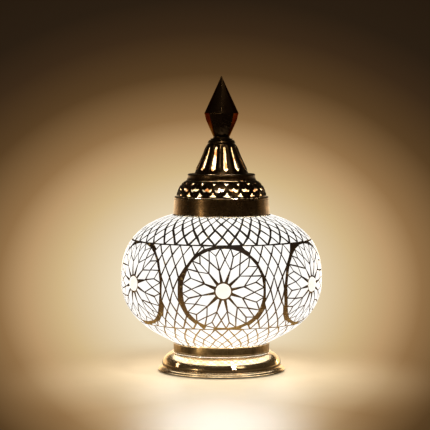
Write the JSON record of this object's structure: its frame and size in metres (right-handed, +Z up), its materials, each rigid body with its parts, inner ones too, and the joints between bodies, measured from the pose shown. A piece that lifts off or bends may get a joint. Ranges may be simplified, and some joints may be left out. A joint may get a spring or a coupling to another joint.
{
  "type": "mosaic glass table lamp",
  "caption": "Table lamp: round mosaic glass globe with flower pattern on a spun brass foot, pierced brass crown with spear finial, inner lamp holder and bulb, cord with switch and plug.",
  "frame": {"origin": "centre of the foot's felt underside, on the globe's axis, at the resting plane", "axes": "+Z up along the globe's axis, front (a flower facing the viewer) towards -Y, cord leaves towards +Y"},
  "size_m": [0.1706, 0.2385, 0.2501],
  "materials": {
    "antique_brass": "aged, brushed, dark patina in the low places",
    "dark_bronze": "dark aged bronze, satin",
    "steel": "zinc-plated steel",
    "nickel": "nickel plated",
    "felt": "pressed felt",
    "rubber": "matte",
    "cord_sheath": "satin flexible sheath",
    "porcelain": null,
    "black_plastic": "moulded, semi-gloss",
    "clear_glass": "clear blown glass",
    "opal_glass": "opal white, lit",
    "grout": "rough golden-brown paste",
    "white_tesserae": "white opal glass pieces, lit from behind",
    "bead_glass": "cream domed glass, lit from behind"
  },
  "bodies": {
    "base": {"felt_pad": "felt", "base_plate": "steel", "base_foot": "antique_brass", "neck_ring": "antique_brass", "lower_collar": "antique_brass", "lower_bridge": "steel", "lamp_bridge": "steel", "hollow_nipple": "steel", "nipple_nut": "steel", "holder_cap": "black_plastic", "holder_body": "black_plastic", "holder_core": "porcelain", "holder_screw_shell": "nickel", "holder_contact": "nickel", "glass_gasket": "rubber", "globe_glass": "clear_glass", "grout_layer": "grout", "mosaic_band_bottom": "white_tesserae", "mosaic_band_top": "white_tesserae", "mosaic_rosette_1": "white_tesserae", "mosaic_net_1": "white_tesserae", "rosette_bead_1": "bead_glass", "mosaic_rosette_2": "white_tesserae", "mosaic_net_2": "white_tesserae", "rosette_bead_2": "bead_glass", "mosaic_rosette_3": "white_tesserae", "mosaic_net_3": "white_tesserae", "rosette_bead_3": "bead_glass", "mosaic_rosette_4": "white_tesserae", "mosaic_net_4": "white_tesserae", "rosette_bead_4": "bead_glass", "mosaic_rosette_5": "white_tesserae", "mosaic_net_5": "white_tesserae", "rosette_bead_5": "bead_glass", "mosaic_rosette_6": "white_tesserae", "mosaic_net_6": "white_tesserae", "rosette_bead_6": "bead_glass", "cable": "cord_sheath", "cable_grommet": "rubber", "switch_base": "black_plastic", "switch_cover": "black_plastic", "cable_tail": "cord_sheath", "plug_body": "black_plastic", "plug_pin_left": "nickel", "plug_pin_right": "nickel"},
    "crown": {"upper_collar": "antique_brass", "pierced_dome": "antique_brass", "crown_ring": "antique_brass", "slotted_cone": "antique_brass", "crown_neck": "antique_brass", "crown_bridge": "steel", "crown_rod": "steel", "crown_nut": "steel"},
    "finial": {"finial": "dark_bronze"},
    "bulb": {"bulb_contact": "nickel", "bulb_insulator": "black_plastic", "bulb_cap": "nickel", "bulb_envelope": "opal_glass", "led_column": "porcelain"},
    "rocker": {"switch_rocker": "black_plastic"}
  },
  "joints": [
    {"name": "crown_lift", "type": "slide", "parent": "base", "child": "crown", "axis": [0, 0, 1], "range_m": [0, 0.06]},
    {"name": "finial_unscrew", "type": "hinge", "parent": "crown", "child": "finial", "pos_m": [0, 0, 0.1991], "axis": [0, 0, 1], "range_deg": [0, 3240]},
    {"name": "bulb_unscrew", "type": "hinge", "parent": "base", "child": "bulb", "pos_m": [0, 0, 0.045], "axis": [0, 0, 1], "range_deg": [0, 1260]},
    {"name": "switch_rocker_tilt", "type": "hinge", "parent": "base", "child": "rocker", "pos_m": [-0.02, 0.103, 0.013], "axis": [1, 0, 0], "range_deg": [0, 20]}
  ]
}
